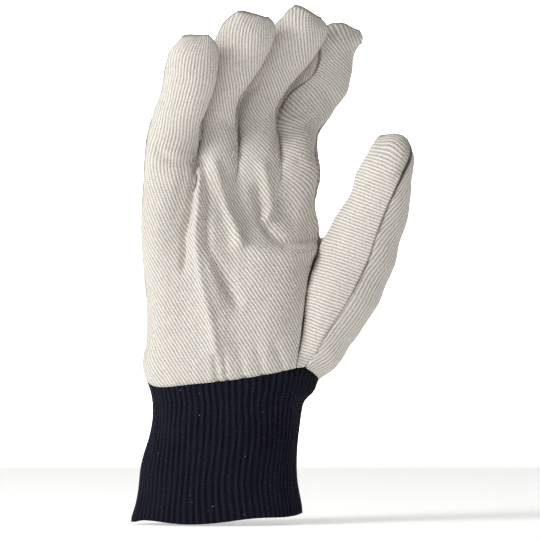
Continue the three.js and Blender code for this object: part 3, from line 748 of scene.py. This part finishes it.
# Small pulls that round the fingertips and bring the outline to the filled glove's:
# where they act (x, z), how far they move it (x, z) and over what reach, all in mm
outlinePulls = [
    {"at": (50, 176), "move": (1.8, 0), "reach": 9},
    {"at": (50.5, 150), "move": (2.0, 0), "reach": 8},
    {"at": (89.8, 191), "move": (0, 2.6), "reach": 6},
    {"at": (72, 176), "move": (-1.8, 0.6), "reach": 9},
    {"at": (99.5, 172), "move": (-1.3, 0), "reach": 9},
    {"at": (87.5, 130), "move": (1.4, -0.6), "reach": 10},
    {"at": (80, 110.6), "move": (1.7, -1.1), "reach": 10},
    {"at": (72, 98), "move": (1.2, -1.0), "reach": 10},
    {"at": (57, 76), "move": (1.6, -1.4), "reach": 7},
    {"at": (-37, 151), "move": (-0.3, 0), "reach": 18},
    {"at": (-36.5, 78), "move": (-1.3, 0), "reach": 9},
    {"at": (-37, 26), "move": (-1.4, 0), "reach": 18},
    {"at": (-41, -1), "move": (-1.2, 0.5), "reach": 5},
    {"at": (42, 5), "move": (1.1, -0.5), "reach": 8},
    {"at": (46, 60), "move": (-1.0, 0), "reach": 5},
    {"at": (42, 47), "move": (1.0, 0), "reach": 9},
    {"at": (48.5, 65), "move": (1.6, -0.5), "reach": 4.5},
    {"at": (-41, 6), "move": (-0.9, 0), "reach": 8},
    {"at": (97, 150), "move": (1.0, 0), "reach": 9},
    {"at": (-21, 244), "move": (1.4, -1.3), "reach": 4.5, "finger": "little"},
    {"at": (27, 256), "move": (-1.3, -1.2), "reach": 5, "finger": "ring"},
    {"at": (13, 258), "move": (0, 0.8), "reach": 5, "finger": "ring"},
    {"at": (54.5, 256.5), "move": (-2.0, -2.0), "reach": 5.5, "finger": "middle"},
    {"at": (40.5, 260), "move": (0, 1.6), "reach": 5, "finger": "middle"},
    {"at": (71.5, 237), "move": (-2.0, 0), "reach": 6.5, "finger": "index"},
    {"at": (66, 217), "move": (1.7, -0.6), "reach": 7, "finger": "index"},
    {"at": (65, 251), "move": (0, 1.4), "reach": 5, "finger": "index"},
    {"at": (52, 198), "move": (-1.2, 0), "reach": 6, "finger": "index"},
    {"at": (32, 200), "move": (-3.4, 0), "reach": 9, "finger": "index"},
]


def pullOutline(mesh):
    for vert in mesh.vertices:
        point = vert.co / mm
        finger = nearestFinger(point)[0] if point.z > fingersFrom and point.x < thumbFrom else None
        move = Vector()
        for pull in outlinePulls:
            if pull.get("finger", finger) != finger:
                continue
            away = math.hypot(point.x - pull["at"][0], point.z - pull["at"][1]) / pull["reach"]
            if away < 3:
                x, z = pull["move"]
                move += Vector((x, 0, z)) * math.exp(-away * away)
        vert.co += move * mm
    mesh.update()


def foldHeight(x, z):
    total = 0.0
    for fold in palmFolds:
        away = 9.0
        for (ax, az), (bx, bz) in zip(fold["line"], fold["line"][1:]):
            run = (bx - ax, bz - az)
            t = ((x - ax) * run[0] + (z - az) * run[1]) / (run[0] ** 2 + run[1] ** 2)
            t = min(max(t, 0), 1)
            away = min(away, math.hypot(x - ax - t * run[0], z - az - t * run[1]) / fold["broad"])
        if away < 3:
            total += fold["high"] * math.exp(-away * away)
    return total


def rumpleCloth(piece, folded):
    # Small folds, puckers along the seams and gathers above the cuff; both faces move together
    mesh = piece.data
    outside = piece.vertex_groups["outside"].index
    rimIndex = piece.vertex_groups["rim"].index
    skin = []
    rim = []
    for vert in mesh.vertices:
        held = {g.group: g.weight for g in vert.groups}
        if held.get(outside, 0) > 0.99 and held.get(rimIndex, 0) < 0.3:
            skin.append(vert)
        if held.get(outside, 0) > 0.99 and held.get(rimIndex, 0) > 0.95:
            rim.append(vert.co.copy())
    tree = kdtree.KDTree(len(skin))
    for k, vert in enumerate(skin):
        tree.insert(vert.co, k)
    tree.balance()
    seams = kdtree.KDTree(len(rim))
    for k, point in enumerate(rim):
        seams.insert(point, k)
    seams.balance()
    normals = [vert.normal.copy() for vert in skin]
    places = [vert.co.copy() for vert in skin]
    moves = []
    shades = mesh.attributes.new("seamShade", "FLOAT", "POINT").data
    for vert in mesh.vertices:
        near = tree.find_n(vert.co, 3)
        normal = sum((normals[k] for _, k, _ in near), Vector()).normalized()
        spot = places[near[0][1]]
        x, z = spot.x / mm, spot.z / mm
        toSeam = seams.find(spot)[2] / mm
        height = clothLook["rumple"] * noise.noise(spot * clothLook["rumpleScale"])
        fine = spot * clothLook["fineScale"] + Vector((3, 1, 7))
        height += clothLook["fineRumple"] * noise.noise(fine)
        puckered = math.exp(-((toSeam / clothLook["puckerReach"]) ** 2))
        pucker = noise.noise(spot * clothLook["puckerScale"])
        height += clothLook["puckerHigh"] * puckered * pucker
        gathered = math.exp(-max(z - clothLook["gatherFrom"], 0) / clothLook["gatherReach"])
        around = Vector((x * 0.22, spot.y / mm * 0.22, z * 0.03))
        height += clothLook["gatherHigh"] * gathered * noise.noise(around)
        if folded and normal.y < 0:
            height += foldHeight(x, z) * min(-normal.y * 1.5, 1)
        # The knuckles fill the cloth from the palm to the back of the hand
        full = clothLook["palmFull"] if folded else clothLook["backFull"]
        fromKnuckles = (z - knuckleHeight) / clothLook["fullReach"]
        height += full * math.exp(-(fromKnuckles**2)) * abs(normal.y)
        settle = smooth(toSeam, 0.0, 3.0) * 0.8 + 0.2
        ditch = clothLook["ditchDeep"] * math.exp(-((toSeam / clothLook["ditchBroad"]) ** 2))
        # Painted shade for the seam ditches: full at the rims, fading out over shadeBroad mm, only
        # above shadeFrom mm
        fromRim = seams.find(vert.co)[2] / mm
        above = vert.co.z / mm > clothLook["shadeFrom"]
        shades[vert.index].value = max(1 - fromRim / clothLook["shadeBroad"], 0) if above else 0
        moves.append(normal * ((height * settle - ditch) * mm))
    for vert, move in zip(mesh.vertices, moves):
        vert.co += move
    mesh.update()


def finishPiece(piece, material, node=None):
    piece.data.materials.clear()
    piece.data.materials.append(material)
    piece.data.polygons.foreach_set("use_smooth", [True] * len(piece.data.polygons))
    piece.data.update()
    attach(piece, "root")
    if node:
        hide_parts(node)


for nodeName, look in panels.items():
    cloth = clothPiece(nodeName)
    rumpleCloth(cloth, nodeName == "palm_panel")
    pullOutline(cloth.data)
    finishPiece(cloth, drillMaterial, nodeName)
    print("cloth", look["name"], len(cloth.data.polygons), "faces")


# Knit cuff
cuffLook = {
    "name": "ribbedCuff",
    "levels": 2,
    "wall": 3.6,
    "ribs": 78,
    "depthShare": 0.47,
    "shift": 0.003,
    "freeTo": 56,
    "heldFrom": 68,
    "flat": (0.205, 0.072),
    "sway": 0.6,
    "wander": 3.0,
}


def ribbedCuff():
    piece = openCopy("knit_cuff", cuffLook["name"])
    shape = bmesh.new()
    shape.from_mesh(piece.data)
    shape.faces.ensure_lookup_table()
    shape.normal_update()
    holdRims(shape, outerFaces(shape, cuffLook["wall"])[1])
    shape.to_mesh(piece.data)
    shape.free()
    swell = piece.modifiers.new("softKnit", "SUBSURF")
    swell.levels = cuffLook["levels"]
    swell.render_levels = cuffLook["levels"]
    selectOnly(piece)
    bpy.ops.object.modifier_apply(modifier="softKnit")
    mesh = piece.data
    # The wales are counted round the cuff and the courses up it
    low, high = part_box("knit_cuff")
    middle = (low + high) / 2
    while mesh.uv_layers:
        mesh.uv_layers.remove(mesh.uv_layers[0])
    weave = mesh.uv_layers.new(name="weave").data
    turns = []
    for vert in mesh.vertices:
        angle = math.atan2(vert.co.y / cuffLook["depthShare"], vert.co.x - cuffLook["shift"])
        turns.append(angle / (2 * math.pi) * cuffLook["ribs"])
    for poly in mesh.polygons:
        base = turns[poly.vertices[0]]
        for i, v in zip(poly.loop_indices, poly.vertices):
            turn = turns[v]
            if turn - base > cuffLook["ribs"] / 2:
                turn -= cuffLook["ribs"]
            if base - turn > cuffLook["ribs"] / 2:
                turn += cuffLook["ribs"]
            weave[i].uv = (turn, mesh.vertices[v].co.z)
    for vert in mesh.vertices:
        out = Vector((vert.co.x - middle.x, vert.co.y / cuffLook["depthShare"], 0)).normalized()
        free = 1 - smooth(vert.co.z / mm, cuffLook["freeTo"], cuffLook["heldFrom"])
        ease = cuffLook["sway"] * free * noise.noise(vert.co * 60 + Vector((9, 2, 4)))
        # The wales wander sideways as the knit is pulled
        spot = Vector((vert.co.x * 28, vert.co.y * 28, vert.co.z * 32))
        wander = cuffLook["wander"] * free * noise.noise(spot)
        vert.co += out * (ease * mm) + Vector((-out.y, out.x, 0)) * (wander * mm)
    pullOutline(mesh)
    finishPiece(piece, knitMaterial, "knit_cuff")
    print("cuff", len(mesh.polygons), "faces")


ribbedCuff()


# Ends of sewing thread left at the finger crotches
# Where each starts (x, z), how far it curls and hangs, in mm, and how often it turns
threadEnds = [
    {"at": (-10.6, 184.6), "curl": 1.6, "turns": 1.3, "drop": 5.0},
    {"at": (10.4, 188.0), "curl": 1.3, "turns": 1.6, "drop": 3.5},
    {"at": (32.4, 186.5), "curl": 1.2, "turns": 1.1, "drop": 3.5},
]


def surfaceY(x, z):
    # Where a level look from the palm side first meets the palm cloth, in mm
    palm = bpy.data.objects["palmCloth"]
    hit = palm.ray_cast(Vector((x * mm, -0.2, z * mm)), Vector((0, 1, 0)))
    return hit[1].y / mm if hit[0] else 0.0


def looseThreads():
    curve = bpy.data.curves.new("looseThreads", "CURVE")
    curve.dimensions = "3D"
    curve.bevel_depth = thread["radius"] * mm
    curve.bevel_resolution = 1
    curve.resolution_u = 6
    for end in threadEnds:
        x, z = end["at"]
        line = curve.splines.new("BEZIER")
        steps = 9
        line.bezier_points.add(steps - 1)
        for k, knot in enumerate(line.bezier_points):
            t = k / (steps - 1)
            turn = 2 * math.pi * end["turns"] * t
            px = x + end["curl"] * (math.cos(turn) - 1) * (0.6 + 0.4 * t)
            pz = z - end["drop"] * t + end["curl"] * math.sin(turn) * 0.8
            py = surfaceY(px, pz) - 0.3 - 0.9 * math.sin(math.pi * t)
            knot.co = (px * mm, py * mm, pz * mm)
            knot.handle_left_type = "AUTO"
            knot.handle_right_type = "AUTO"
    threads = bpy.data.objects.new("looseThreads", curve)
    bpy.context.scene.collection.objects.link(threads)
    selectOnly(threads)
    bpy.ops.object.convert(target="MESH")
    finishPiece(bpy.context.view_layer.objects.active, threadMaterial)
    print("loose threads done")


looseThreads()
